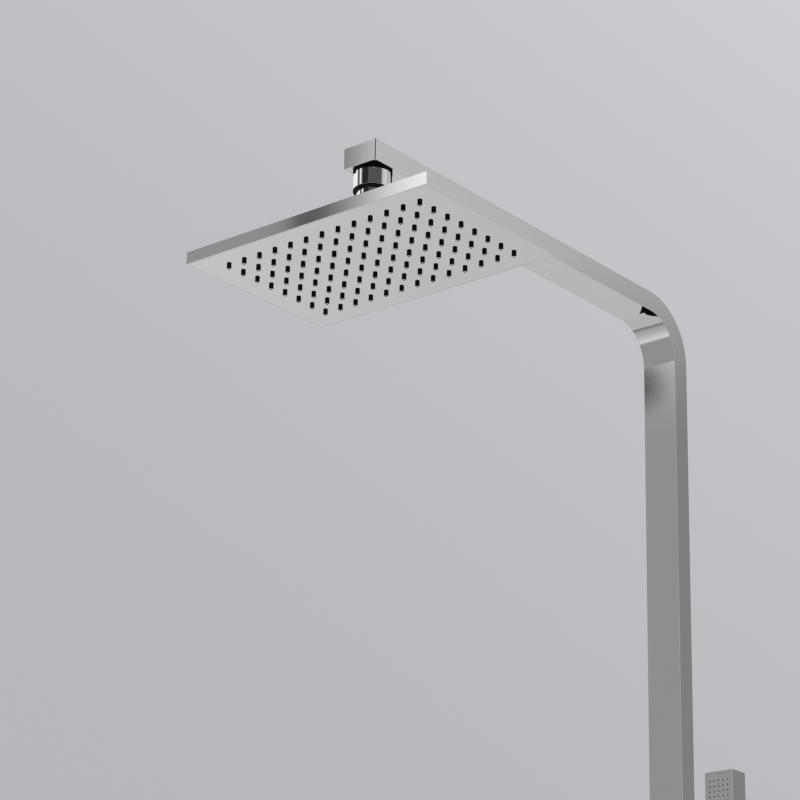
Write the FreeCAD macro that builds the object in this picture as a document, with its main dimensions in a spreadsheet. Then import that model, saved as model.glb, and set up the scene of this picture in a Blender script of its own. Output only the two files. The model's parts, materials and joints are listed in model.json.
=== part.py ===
import FreeCAD, Part
import math
import os
import Sketcher
from FreeCAD import Placement, Rotation, Vector

# Shower column: a flat tube that bends forward into an arm, a rectangular rain head hung from the
# arm's tip on a ball joint, and a bar-shaped hand shower in a tilting cradle at the column's right.
# Frame: millimetres, +Z up, +X to the right along the wall, +Y into the wall (the room is at -Y).
# The origin lies on the wall, at the middle of the upper bracket's plate.

SIZES = {
    "fit_play": 0.05,         # radial play of pieces that fit in or on each other
    "washer_play": 0.2,       # radial play of washers and filters
    # Column and arm
    "stand_off": 60,          # wall to the column's back
    "tube_width": 41,
    "tube_depth": 22.5,
    "tube_wall": 1.5,
    "tube_corner": 0.3,
    "bend_outer": 66.5,
    "arm_top": 737,
    "tube_bottom": -331.8,
    "head_reach": 492,        # column's front to the rain head's centre
    "tip_overhang": 20.7,     # arm's tip in front of the rain head's centre
    "cap_plate": 2.5,
    "cap_plug": 6,
    "cap_play": 0.1,
    "cap_edge": 1.0,
    "elbow_side": 24,
    "elbow_height": 17.5,
    "elbow_bore": 6,
    "elbow_ceiling": 3,       # top of the elbow's bore above the arm's axis
    "nipple_reach": 1,        # nipple's end below the lock nut
    "nipple_play": 0.35,
    # Supply hose inside the tube
    "hose_radius": 6,
    "hose_bore": 4,
    "barb_bore": 2.6,
    "barb_length": 22,
    "barb_thread": 6,         # barb's threaded length
    "barb_collar": 3,         # gap between the hose's end and what its barb stands on
    "ferrule_radius": 7,
    "ferrule_length": 10,
    "ferrule_gap": 3,         # hose's end to the ferrule
    # Rain head
    "head_width": 300,
    "head_depth": 200,
    "head_thickness": 12.5,
    "head_gap": 81.75,        # arm's underside to the head's top
    "sheet": 1.2,             # stainless sheet of the cover and the face
    "seam": 0.2,
    "nozzle_columns": 13,
    "nozzle_rows": 8,
    "nozzle_pitch_x": 19.9,
    "nozzle_pitch_y": 20.5,
    "nozzle_radius": 2.3,
    "nozzle_bore": 1.1,
    "nozzle_proud": 3.4,
    "mat_thickness": 2,
    "mat_border": 10,
    "frame_border": 14,
    "head_inlet": 8,
    "boss_radius": 17,
    "boss_height": 14,
    "boss_edge": 1,
    "filter_bore": 5,
    "filter_height": 2.4,
    # Ball joint between arm and head
    "thread_half": 10.478,    # G 1/2 outside thread, major radius
    "thread_play": 0.05,
    "arm_washer_radius": 19.4,
    "arm_washer_height": 3.5,
    "nut_radius": 19,
    "nut_height": 17.3,
    "nut_counterbore": 15,
    "nut_pocket": 9,
    "nut_edge_top": 0.2,
    "nut_edge_low": 0.2,
    "ring_radius": 19,
    "ring_height": 1.4,
    "cup_radius": 15.6,
    "cup_shank": 14.7,
    "cup_shank_height": 8,
    "cup_skirt": 10.5,        # cup's lower edge below the ball's centre
    "cup_edge": 1,
    "cup_step": 2.9,          # step inside the cup above the ball's centre
    "cup_bore": 13.5,
    "cup_socket": 13.1,
    "cup_mouth": 10.6,
    "ball_drop": 36.5,        # arm's underside to the ball's centre
    "ball_radius": 11.5,
    "ball_play": 0.25,
    "bushing_low": 10.1,
    "seat_low": 3.3,
    "seat_high": 9.8,
    "seat_lip": 3.5,
    "seat_play": 0.3,
    "liner_outer": 12.8,
    "liner_low": 5.4,
    "liner_height": 5,
    "stem_radius": 6.5,
    "stem_end": 2.5,          # stem's end above the head's top
    "stem_neck": 2,           # end of the stem's thread above the boss
    "stem_taper": 3,
    "water_bore": 4,
    # Upper wall bracket
    "plate_width": 36,
    "plate_height": 56,
    "plate_thickness": 3,
    "screw_spacing": 42,
    "screw_hole": 2.75,
    "rosette_width": 50,
    "rosette_height": 70,
    "rosette_depth": 10,
    "rosette_wall": 2,
    "cover_edge": 0.8,
    "post_side": 24,
    "post_bore": 18,
    "post_end": 8,
    "post_gap": 0.3,
    "spigot_side": 17.6,
    "spigot_length": 22,
    "grub_height": 15,        # post's grub screw in front of the wall
    "post_grub": 2.5,
    "post_grub_key": 2.5,
    "post_grub_key_depth": 1.5,
    "grub_sink": 0.5,         # grub screws below the surface round them
    "column_screw": 3,
    "column_screw_head": 5,
    "screw_head_height": 6,
    "column_screw_key": 5,
    "column_screw_key_depth": 3,
    "screw_reach": 4.4,       # column screw's end behind the column's back face
    "rivet_radius": 4.55,
    "rivet_flange": 6,
    "rivet_length": 4.6,
    # Lower block with the diverter and the wall inlet
    "block_width": 48,
    "block_front": 6,         # block's front face in front of the column's
    "block_back": 6,          # block's back face behind the column's
    "block_top": -318,
    "block_bottom": -400,
    "block_pocket": 14,
    "block_edge": 0.8,
    "foot_play": 0.1,
    "riser_bore": 6,
    "barb_flange": 8.5,
    "valve_height": -360,
    "valve_bore": 11,
    "valve_depth": 26,
    "waterway": 5,
    "waterway_back": 12,      # depth of the inlet's waterway from the block's back
    "waterway_up": 30,        # depth of the outlet's waterway from the block's foot
    "outlet_bore": 9,
    "outlet_depth": 12,
    "union_radius": 17.3,     # corner radius of the 30 mm hexagon
    "union_thread": 12.06,    # G 3/4 inside thread, minor radius
    "union_length": 20.7,
    "union_floor": 3.7,
    "union_chamfer": 1.3,
    "union_groove": 5.5,
    "union_relief": 0.4,
    "union_play": 0.15,
    "tail_radius": 9,
    "tail_bore": 6,
    "tail_plug": 6.8,         # tail's end inside the block
    "tail_pocket": 7,
    "tail_collar": 11.8,
    "tail_flange": 3,
    "tail_reach": 20,         # collar's room between it and the wall
    "union_washer_bore": 6.5,
    "union_washer": 2,
    "inlet_cover_side": 54,
    "inlet_cover_depth": 26,
    "inlet_cover_play": 0.4,
    "cartridge_bore": 8.6,
    "cartridge_back": 25.5,
    "cartridge_front": 4.2,
    "cartridge_lid": 8,
    "cartridge_port": 3.5,
    "port_depth": 15,
    "seal_bore": 5,
    "seal_back": 25.9,
    "seal_front": 24,
    "valve_nut_bore": 6.2,
    "valve_nut_proud": 0.8,
    "spindle_radius": 4,
    "spindle_reach": 14,
    "spindle_disc": 8.3,
    "disc_back": 23.6,
    "disc_front": 19.6,
    "disc_port": 1.9,
    "disc_port_offset": 6.1,
    "knob_side": 34,
    "knob_length": 20,
    "knob_gap": 1.2,
    "knob_edge": 1,
    "knob_recess": 12.5,
    "knob_recess_depth": 3,
    "knob_socket": 13,
    "knob_grub": 2,
    "knob_grub_key": 2,
    "knob_grub_key_depth": 2,
    "knob_grub_height": 9,
    "mark_width": 1.4,
    "mark_length": 9,
    "mark_depth": 0.6,
    "mark_offset": 9.5,
    "outlet_flange": 13,
    "outlet_flange_height": 2,
    "outlet_thread": 12,      # threaded end's reach below the block
    "valve_seat": 7.6,
    "outlet_neck": 6,
    "cage_bore": 5.6,
    "cage_low": 3,
    "cage_high": 10,
    "flap_radius": 5.4,
    "flap_edge": 0.8,
    "flap_dish": 2,
    "flap_crown": 3.2,
    "flap_pin": 1.2,
    "flap_height": 6,
    # Hand shower and its holder
    "hand_left": 42.5,        # column's centre plane to the bar's left side
    "hand_setback": 9,        # bar's front face behind the column's front
    "hand_width": 33.3,
    "hand_depth": 24.7,
    "hand_length": 230,
    "hand_drop": 527.7,       # arm's top to the bar's top
    "hand_edge": 0.5,
    "hand_bore": 6,
    "spray_columns": 5,
    "spray_rows": 20,
    "spray_pitch": 5.5,
    "spray_start": 10.5,
    "spray_radius": 0.75,
    "jet_proud": 0.3,
    "face_sheet": 1.5,
    "face_rim": 1.5,          # bar's edge beside its face
    "face_play": 0.1,
    "face_margin": 7.5,       # outermost jets to the face's end
    "jet_mat_rim": 3.5,
    "jet_mat_margin": 4.5,
    "chamber_depth": 13,
    "inlet_bore": 5,
    "inlet_length": 14,
    "inlet_relief": 9.5,
    "inlet_relief_height": 4,
    "inlet_plug_radius": 8,
    "inlet_plug": 9.8,
    "hand_filter_bore": 2,
    "hand_filter_low": 9,
    "hand_filter_height": 2,
    "cradle_play": 0.3,
    "cradle_wall": 3,
    "cradle_height": 42,
    "cradle_edge": 0.8,
    "cradle_slot": 20,
    "cradle_mouth": 25.5,
    "pivot_setback": 14.5,    # pivot's axis behind the column's front
    "pivot_radius": 8,
    "pivot_screw": 2.5,
    "pivot_depth": 4,         # blind hole for the pivot screw
    "pivot_head": 4.5,
    "pivot_head_height": 1.8,
    "pivot_sink": 0.9,        # screw head's seat inside the cradle's wall
    "pivot_key": 2.5,
    "pivot_key_depth": 1.4,
    "stud_radius": 4,
    "stud_length": 5.4,
    "back_nut_radius": 6.5,
    "back_nut_height": 3.6,
    "holder_washer": 7.4,
    "washer_height": 0.3,
    "holder_gap": 0.6,        # holder's boss to the cradle
    "holder_edge": 0.5,
}

doc = FreeCAD.newDocument("shower_column")
sheet = doc.addObject("Spreadsheet::Sheet", "Size")
for row, (alias, size) in enumerate(SIZES.items(), start=1):
    sheet.set("A%d" % row, alias)
    sheet.set("B%d" % row, str(size))
    sheet.setAlias("B%d" % row, alias)
doc.recompute()

# Places worked out from the driving dimensions.
COLUMN_AXIS = "-(Size.stand_off + Size.tube_depth / 2)"
ARM_AXIS = "(Size.arm_top - Size.tube_depth / 2)"
ARM_UNDER = "(Size.arm_top - Size.tube_depth)"
BEND_MIDDLE = "(Size.bend_outer - Size.tube_depth / 2)"
HEAD_AXIS = "-(Size.stand_off + Size.tube_depth + Size.head_reach)"
ARM_TIP = "-(Size.stand_off + Size.tube_depth + Size.head_reach + Size.tip_overhang)"
HEAD_TOP = "(Size.arm_top - Size.tube_depth - Size.head_gap)"
HEAD_FACE = "(Size.arm_top - Size.tube_depth - Size.head_gap - Size.head_thickness)"
BALL_CENTRE = "(Size.arm_top - Size.tube_depth - Size.ball_drop)"
HAND_CENTRE_X = "(Size.hand_left + Size.hand_width / 2)"
HAND_CENTRE_Y = "(Size.hand_setback - Size.stand_off - Size.tube_depth + Size.hand_depth / 2)"
HAND_BOTTOM = "(Size.arm_top - Size.hand_drop - Size.hand_length)"
PIVOT_Y = "(Size.pivot_setback - Size.stand_off - Size.tube_depth)"
BLOCK_FRONT = "-(Size.stand_off + Size.tube_depth + Size.block_front)"
BLOCK_BACK = "-(Size.stand_off - Size.block_back)"
HOSE_FOOT = "(Size.block_top - Size.block_pocket + Size.barb_collar)"
HOSE_END = "(%s + Size.elbow_side / 2 + Size.barb_collar)" % HEAD_AXIS
THROUGH_WALL = "4 * Size.tube_wall"

FORWARD = Rotation(Vector(1, 0, 0), 90)     # a piece's own +Z points into the room
TO_WALL = Rotation(Vector(1, 0, 0), -90)    # a piece's own +Z points into the wall
TO_RIGHT = Rotation(Vector(0, 1, 0), 90)    # a piece's own +Z points to the right

finished = []


def number(expression):
    """Value of an expression on the sheet."""
    return float(sheet.evalExpression(expression))


def piece(label, at=("0", "0", "0"), turn=None):
    """A new sub-part, placed by three expressions and an optional turn."""
    body = doc.addObject("PartDesign::Body", label)
    body.Label = label
    if turn is not None:
        body.Placement = Placement(Vector(), turn)
    for axis, expression in zip("xyz", at):
        body.setExpression("Placement.Base." + axis, expression)
    finished.append(body)
    return body


def sketch_on(body, role, height="0"):
    """An empty sketch on one of the body's origin planes, raised along the plane's normal."""
    plane = next(item for item in body.Origin.OriginFeatures if item.Role == role)
    sketch = body.newObject("Sketcher::SketchObject", "outline")
    sketch.AttachmentSupport = [(plane, "")]
    sketch.MapMode = "FlatFace"
    sketch.setExpression("AttachmentOffset.Base.z", height)
    return sketch


def hold(sketch, geometry, point, x, y):
    """Holds one point of the sketch at the place given by two expressions."""
    for kind, axis, expression in (("DistanceX", -2, x), ("DistanceY", -1, y)):
        if abs(number(expression)) < 1e-9:
            sketch.addConstraint(Sketcher.Constraint("PointOnObject", geometry, point, axis))
            continue
        distance = Sketcher.Constraint(kind, -1, 1, geometry, point, number(expression))
        index = sketch.addConstraint(distance)
        sketch.setExpression("Constraints[%d]" % index, expression)


def set_radius(sketch, geometry, radius):
    index = sketch.addConstraint(Sketcher.Constraint("Radius", geometry, number(radius)))
    sketch.setExpression("Constraints[%d]" % index, radius)


def polygon(sketch, corners):
    """A closed outline through corners given as pairs of expressions."""
    points = [Vector(number(x), number(y), 0) for x, y in corners]
    first = sketch.GeometryCount
    count = len(points)
    for step in range(count):
        sketch.addGeometry(Part.LineSegment(points[step], points[(step + 1) % count]), False)
    for step in range(count):
        following = first + (step + 1) % count
        sketch.addConstraint(Sketcher.Constraint("Coincident", first + step, 2, following, 1))
    for step, (x, y) in enumerate(corners):
        hold(sketch, first + step, 1, x, y)


def rectangle(sketch, x, y, width, height):
    """A rectangle centred on x, y."""
    left = "%s - (%s) / 2" % (x, width)
    right = "%s + (%s) / 2" % (x, width)
    low = "%s - (%s) / 2" % (y, height)
    high = "%s + (%s) / 2" % (y, height)
    polygon(sketch, [(left, low), (right, low), (right, high), (left, high)])


def rounded_rectangle(sketch, x, y, width, height, radius):
    """A rectangle centred on x, y whose corners are arcs of the given radius."""
    first = sketch.GeometryCount
    signs = ((1, -1, -90), (1, 1, 0), (-1, 1, 90), (-1, -1, 180))
    centres = []
    for across, along, start in signs:
        centre_x = "%s + %d * ((%s) / 2 - %s)" % (x, across, width, radius)
        centre_y = "%s + %d * ((%s) / 2 - %s)" % (y, along, height, radius)
        centres.append((centre_x, centre_y))
        middle = Vector(number(centre_x), number(centre_y), 0)
        ring = Part.Circle(middle, Vector(0, 0, 1), number(radius))
        arc = Part.ArcOfCircle(ring, math.radians(start), math.radians(start + 90))
        sketch.addGeometry(arc, False)
    for corner in range(4):
        here = sketch.getPoint(first + corner, 2)
        there = sketch.getPoint(first + (corner + 1) % 4, 1)
        side = sketch.addGeometry(Part.LineSegment(here, there), False)
        following = first + (corner + 1) % 4
        sketch.addConstraint(Sketcher.Constraint("Tangent", first + corner, 2, side, 1))
        sketch.addConstraint(Sketcher.Constraint("Tangent", side, 2, following, 1))
    for corner, (centre_x, centre_y) in enumerate(centres):
        hold(sketch, first + corner, 3, centre_x, centre_y)
        set_radius(sketch, first + corner, radius)


def circle(sketch, x, y, radius):
    middle = Vector(number(x), number(y), 0)
    ring = sketch.addGeometry(Part.Circle(middle, Vector(0, 0, 1), number(radius)), False)
    hold(sketch, ring, 3, x, y)
    set_radius(sketch, ring, radius)


def pad(body, sketch, length, backwards=False):
    """Adds material along the sketch's normal."""
    feature = body.newObject("PartDesign::Pad", "pad")
    feature.Profile = sketch
    feature.setExpression("Length", length)
    feature.Reversed = backwards
    doc.recompute()
    return feature


def pocket(body, sketch, length, along=False, both_ways=False):
    """Removes material against the sketch's normal, or along it, or to both sides of its plane."""
    before = body.Shape.Volume
    feature = body.newObject("PartDesign::Pocket", "pocket")
    feature.Profile = sketch
    feature.setExpression("Length", length)
    feature.Reversed = along
    if both_ways:
        feature.SideType = "Symmetric"
    doc.recompute()
    if not body.Shape.Volume < before - 1e-3:
        raise RuntimeError("a pocket of %s removes nothing" % body.Label)
    return feature


def grid(body, feature, sketch, spans, counts):
    """Repeats a feature on a grid along the sketch's two axes."""
    pattern = body.newObject("PartDesign::LinearPattern", "grid")
    pattern.Originals = [feature]
    pattern.Direction = (sketch, ["H_Axis"])
    pattern.Direction2 = (sketch, ["V_Axis"])
    pattern.setExpression("Length", spans[0])
    pattern.setExpression("Length2", spans[1])
    pattern.setExpression("Occurrences", counts[0])
    pattern.setExpression("Occurrences2", counts[1])
    body.Tip = pattern
    doc.recompute()
    return pattern


def revolve(body, sketch):
    """Turns the sketch about its upright axis."""
    feature = body.newObject("PartDesign::Revolution", "turning")
    feature.Profile = sketch
    feature.ReferenceAxis = (sketch, ["V_Axis"])
    feature.Angle = 360
    doc.recompute()
    return feature


def turn_out(body, sketch):
    """Removes what the sketch sweeps as it turns about its upright axis."""
    before = body.Shape.Volume
    feature = body.newObject("PartDesign::Groove", "groove")
    feature.Profile = sketch
    feature.ReferenceAxis = (sketch, ["V_Axis"])
    feature.Angle = 360
    doc.recompute()
    if not body.Shape.Volume < before - 1e-3:
        raise RuntimeError("a groove of %s removes nothing" % body.Label)


def turned(label, profile, at=("0", "0", "0"), turn=None):
    """A piece turned about its own Z axis from a profile of (radius, height) corners."""
    body = piece(label, at, turn)
    sketch = sketch_on(body, "XZ_Plane")
    polygon(sketch, profile)
    revolve(body, sketch)
    return body


def ring(label, inner, outer, low, high, at=("0", "0", "0"), turn=None):
    """A plain ring or tube about its own Z axis."""
    profile = [(inner, low), (outer, low), (outer, high), (inner, high)]
    return turned(label, profile, at, turn)


def ball_feature(body, kind, radius):
    """Adds or removes a sphere about the body's own origin."""
    feature = body.newObject("PartDesign::" + kind, "ball")
    feature.setExpression("Radius", radius)
    doc.recompute()
    return feature


def dress(body, kind, size, wanted):
    """Fillets or chamfers the edges that the test accepts."""
    base = body.Tip
    names = ["Edge%d" % place for place, edge in enumerate(base.Shape.Edges, start=1) if wanted(edge)]
    feature = body.newObject("PartDesign::" + kind, "edges")
    feature.Base = (base, names)
    feature.setExpression("Radius" if kind == "Fillet" else "Size", size)
    doc.recompute()
    return feature


def all_at(edge, axis, *places):
    """Whether the whole edge lies in one of the planes axis = place."""
    return any(
        all(abs(getattr(vertex.Point, axis) - place) < 1e-4 for vertex in edge.Vertexes)
        for place in places)


def hexagon(sketch, corner_radius):
    polygon(sketch, [
        ("%s * cos(%d deg)" % (corner_radius, angle), "%s * sin(%d deg)" % (corner_radius, angle))
        for angle in range(30, 390, 60)])


def key_socket(body, height, across_flats, depth, along=False):
    """Hexagonal socket for a key in a screw's end."""
    socket = sketch_on(body, "XY_Plane", height)
    hexagon(socket, across_flats + " / sqrt(3)")
    pocket(body, socket, depth, along=along)


def path_round_bend(body, start, end):
    """Centre line of the tube: up the column, round the bend and along the arm."""
    sketch = sketch_on(body, "YZ_Plane")
    turn_y = "%s - %s" % (COLUMN_AXIS, BEND_MIDDLE)
    turn_z = "%s - %s" % (ARM_AXIS, BEND_MIDDLE)
    foot = Vector(number(COLUMN_AXIS), number(start), 0)
    top_of_foot = Vector(number(COLUMN_AXIS), number(turn_z), 0)
    middle = Vector(number(turn_y), number(turn_z), 0)
    end_of_bend = Vector(number(turn_y), number(ARM_AXIS), 0)
    tip = Vector(number(end), number(ARM_AXIS), 0)
    whole = Part.Circle(middle, Vector(0, 0, 1), number(BEND_MIDDLE))
    bend = Part.ArcOfCircle(whole, 0, math.pi / 2)
    sketch.addGeometry(Part.LineSegment(foot, top_of_foot), False)
    sketch.addGeometry(bend, False)
    sketch.addGeometry(Part.LineSegment(end_of_bend, tip), False)
    sketch.addConstraint(Sketcher.Constraint("Tangent", 0, 2, 1, 1))
    sketch.addConstraint(Sketcher.Constraint("Tangent", 1, 2, 2, 1))
    hold(sketch, 1, 3, turn_y, turn_z)
    set_radius(sketch, 1, BEND_MIDDLE)
    hold(sketch, 0, 1, COLUMN_AXIS, start)
    hold(sketch, 2, 2, end, ARM_AXIS)
    return sketch


def sweep(body, kind, section, spine):
    """Carries a section along a sketched path."""
    feature = body.newObject("PartDesign::" + kind, "sweep")
    feature.Profile = section
    feature.Spine = (spine, ["Edge1", "Edge2", "Edge3"])
    doc.recompute()
    return feature


# ---- Column, arm and the supply hose inside them ----

def column_tube():
    """Flat tube, bent once, with the holes that its fittings pass through."""
    tube = piece("column_tube")
    arm_end = ARM_TIP + " + Size.cap_plate"
    spine = path_round_bend(tube, "Size.tube_bottom", arm_end)
    outside = sketch_on(tube, "XY_Plane", "Size.tube_bottom")
    rounded_rectangle(outside, "0", COLUMN_AXIS, "Size.tube_width", "Size.tube_depth", "Size.tube_corner")
    sweep(tube, "AdditivePipe", outside, spine)
    inside = sketch_on(tube, "XY_Plane", "Size.tube_bottom")
    width = "(Size.tube_width - 2 * Size.tube_wall)"
    depth = "(Size.tube_depth - 2 * Size.tube_wall)"
    rectangle(inside, "0", COLUMN_AXIS, width, depth)
    sweep(tube, "SubtractivePipe", inside, spine)

    nipple_hole = sketch_on(tube, "XY_Plane", ARM_UNDER)
    circle(nipple_hole, "0", HEAD_AXIS, "Size.thread_half + Size.nipple_play")
    pocket(tube, nipple_hole, THROUGH_WALL, both_ways=True)
    rivet_hole = sketch_on(tube, "XZ_Plane", "Size.stand_off")
    circle(rivet_hole, "0", "0", "Size.rivet_radius + Size.thread_play")
    pocket(tube, rivet_hole, THROUGH_WALL, both_ways=True)
    holder_hole = sketch_on(tube, "YZ_Plane", "Size.tube_width / 2")
    circle(holder_hole, PIVOT_Y, "0", "Size.stud_radius + 2 * Size.fit_play")
    pocket(tube, holder_hole, THROUGH_WALL, both_ways=True)


def arm_tip_cap():
    """Flat cap with rounded front edges and a plug that closes the arm."""
    cap = piece("arm_tip_cap", at=("0", ARM_TIP, ARM_AXIS))
    face = sketch_on(cap, "XZ_Plane")
    rectangle(face, "0", "0", "Size.tube_width", "Size.tube_depth")
    pad(cap, face, "Size.cap_plate", backwards=True)
    side = number("Size.tube_width / 2")
    top = number("Size.tube_depth / 2")
    back = number("Size.cap_plate")
    dress(cap, "Fillet", "Size.cap_edge",
          lambda edge: all_at(edge, "y", 0) and all_at(edge, "x", side, -side))
    dress(cap, "Fillet", "Size.tube_corner",
          lambda edge: all_at(edge, "z", top, -top) and not all_at(edge, "y", back))
    plug = sketch_on(cap, "XZ_Plane")
    less = " - 2 * (Size.tube_wall + Size.cap_play)"
    rectangle(plug, "0", "0", "Size.tube_width" + less, "Size.tube_depth" + less)
    pad(cap, plug, "Size.cap_plate + Size.cap_plug", backwards=True)


def supply_hose():
    """Hose that carries the water from the diverter to the arm's tip."""
    hose = piece("inner_supply_hose")
    spine = path_round_bend(hose, HOSE_FOOT, HOSE_END)
    outside = sketch_on(hose, "XY_Plane", HOSE_FOOT)
    circle(outside, "0", COLUMN_AXIS, "Size.hose_radius")
    sweep(hose, "AdditivePipe", outside, spine)
    bore = sketch_on(hose, "XY_Plane", HOSE_FOOT)
    circle(bore, "0", COLUMN_AXIS, "Size.hose_bore")
    sweep(hose, "SubtractivePipe", bore, spine)


def hose_ferrules():
    """Two crimped rings, one at each end of the supply hose."""
    rings = []
    inner = "Size.hose_radius + Size.fit_play"
    for at, turn in (
        (("0", COLUMN_AXIS, HOSE_FOOT + " + Size.ferrule_gap"), None),
        (("0", HOSE_END + " + Size.ferrule_gap", ARM_AXIS), TO_WALL),
    ):
        rings.append(ring("ferrule", inner, "Size.ferrule_radius", "0", "Size.ferrule_length", at, turn))
        finished.pop()
    pair = doc.addObject("Part::Compound", "hose_ferrules")
    pair.Label = "hose_ferrules"
    pair.Links = rings
    finished.append(pair)


def arm_elbow():
    """Block inside the arm's tip: a hose barb at its back and a threaded nipple below."""
    elbow = piece("arm_elbow", at=("0", HEAD_AXIS, ARM_AXIS))
    low = "-(Size.tube_depth / 2 - Size.tube_wall)"
    body = sketch_on(elbow, "XY_Plane", low)
    rectangle(body, "0", "0", "Size.elbow_side", "Size.elbow_side")
    pad(elbow, body, "Size.elbow_height")
    nipple = sketch_on(elbow, "XY_Plane", low)
    circle(nipple, "0", "0", "Size.thread_half")
    nipple_length = "Size.tube_wall + Size.arm_washer_height + Size.nut_height + Size.nipple_reach"
    pad(elbow, nipple, nipple_length, backwards=True)
    barb = sketch_on(elbow, "XZ_Plane", "-Size.elbow_side / 2")
    circle(barb, "0", "0", "Size.hose_bore - Size.fit_play")
    pad(elbow, barb, "Size.barb_length", backwards=True)
    bore_down = sketch_on(elbow, "XY_Plane", "Size.elbow_ceiling")
    circle(bore_down, "0", "0", "Size.elbow_bore")
    pocket(elbow, bore_down, "2 * (%s)" % nipple_length)
    bore_back = sketch_on(elbow, "XZ_Plane")
    circle(bore_back, "0", "0", "Size.barb_bore")
    pocket(elbow, bore_back, "2 * Size.barb_length")


# ---- Ball joint ----

def ball_joint():
    """Washer, lock nut, ring, cup with its two seats, and the ball with its stem."""
    under = ("0", HEAD_AXIS, ARM_UNDER)
    bore = "(Size.thread_half + Size.thread_play)"
    ring("arm_washer", bore, "Size.arm_washer_radius", "-Size.arm_washer_height", "0", under)

    nut_top = "-Size.arm_washer_height"
    nut_low = "(-Size.arm_washer_height - Size.nut_height)"
    pocket_top = nut_low + " + Size.nut_pocket"
    turned("lock_nut", [
        (bore, nut_top), (bore, pocket_top), ("Size.nut_counterbore", pocket_top),
        ("Size.nut_counterbore", nut_low), ("Size.nut_radius - Size.nut_edge_low", nut_low),
        ("Size.nut_radius", nut_low + " + Size.nut_edge_low"),
        ("Size.nut_radius", nut_top + " - Size.nut_edge_top"),
        ("Size.nut_radius - Size.nut_edge_top", nut_top),
    ], under)
    ring_low = nut_low + " - Size.ring_height"
    ring("cup_ring", "Size.cup_shank + Size.thread_play", "Size.ring_radius", ring_low, nut_low, under)

    centre = ("0", HEAD_AXIS, BALL_CENTRE)
    neck_top = "(Size.ball_drop - Size.arm_washer_height - Size.nut_height - Size.ring_height)"
    shank_top = neck_top + " + Size.ring_height + Size.cup_shank_height"
    cup = turned("ball_cup", [
        ("Size.cup_mouth", "-Size.cup_skirt"), ("Size.cup_radius - Size.cup_edge", "-Size.cup_skirt"),
        ("Size.cup_radius", "-Size.cup_skirt + Size.cup_edge"), ("Size.cup_radius", neck_top),
        ("Size.cup_shank", neck_top), ("Size.cup_shank", shank_top), ("Size.cup_bore", shank_top),
        ("Size.cup_bore", "Size.cup_step"), ("Size.cup_mouth", "Size.cup_step"),
    ], centre)
    ball_feature(cup, "SubtractiveSphere", "Size.cup_socket")
    ring("cup_bushing", bore, "Size.cup_bore - Size.thread_play", "Size.bushing_low", shank_top, centre)

    seat = ring("upper_seat", "Size.ball_radius - Size.seat_lip", "Size.cup_bore - Size.seat_play",
                "Size.seat_low", "Size.seat_high", centre)
    ball_feature(seat, "SubtractiveSphere", "Size.ball_radius + Size.ball_play")
    tilting_seat(centre)

    thread_low = "-(Size.head_gap - Size.ball_drop - Size.stem_end)"
    thread_high = "-(Size.head_gap - Size.ball_drop - Size.boss_height - Size.stem_neck)"
    stem = turned("ball_stem", [
        ("0", thread_low), ("Size.thread_half", thread_low), ("Size.thread_half", thread_high),
        ("Size.stem_radius", thread_high + " + Size.stem_taper"), ("Size.stem_radius", "0"), ("0", "0"),
    ], centre)
    ball_feature(stem, "AdditiveSphere", "Size.ball_radius")
    bore_sketch = sketch_on(stem, "XY_Plane")
    circle(bore_sketch, "0", "0", "Size.water_bore")
    pocket(stem, bore_sketch, "2 * Size.head_gap", both_ways=True)


def tilting_seat(centre):
    """Lower seat of the ball: a band cut from a hollow sphere, so that it can tilt in the cup."""
    band = doc.addObject("Part::Cylinder", "seat_band")
    band.setExpression("Radius", "Size.cup_bore")
    band.setExpression("Height", "Size.liner_height")
    band.setExpression("Placement.Base.z", "-Size.liner_low")
    outside = doc.addObject("Part::Sphere", "seat_outside")
    outside.setExpression("Radius", "Size.liner_outer")
    inside = doc.addObject("Part::Sphere", "seat_inside")
    inside.setExpression("Radius", "Size.ball_radius + Size.ball_play")
    zone = doc.addObject("Part::Common", "seat_zone")
    zone.Base = band
    zone.Tool = outside
    seat = doc.addObject("Part::Cut", "lower_seat")
    seat.Label = "lower_seat"
    seat.Base = zone
    seat.Tool = inside
    for axis, expression in zip("xyz", centre):
        seat.setExpression("Placement.Base." + axis, expression)
    finished.append(seat)


# ---- Rain head ----

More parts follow.
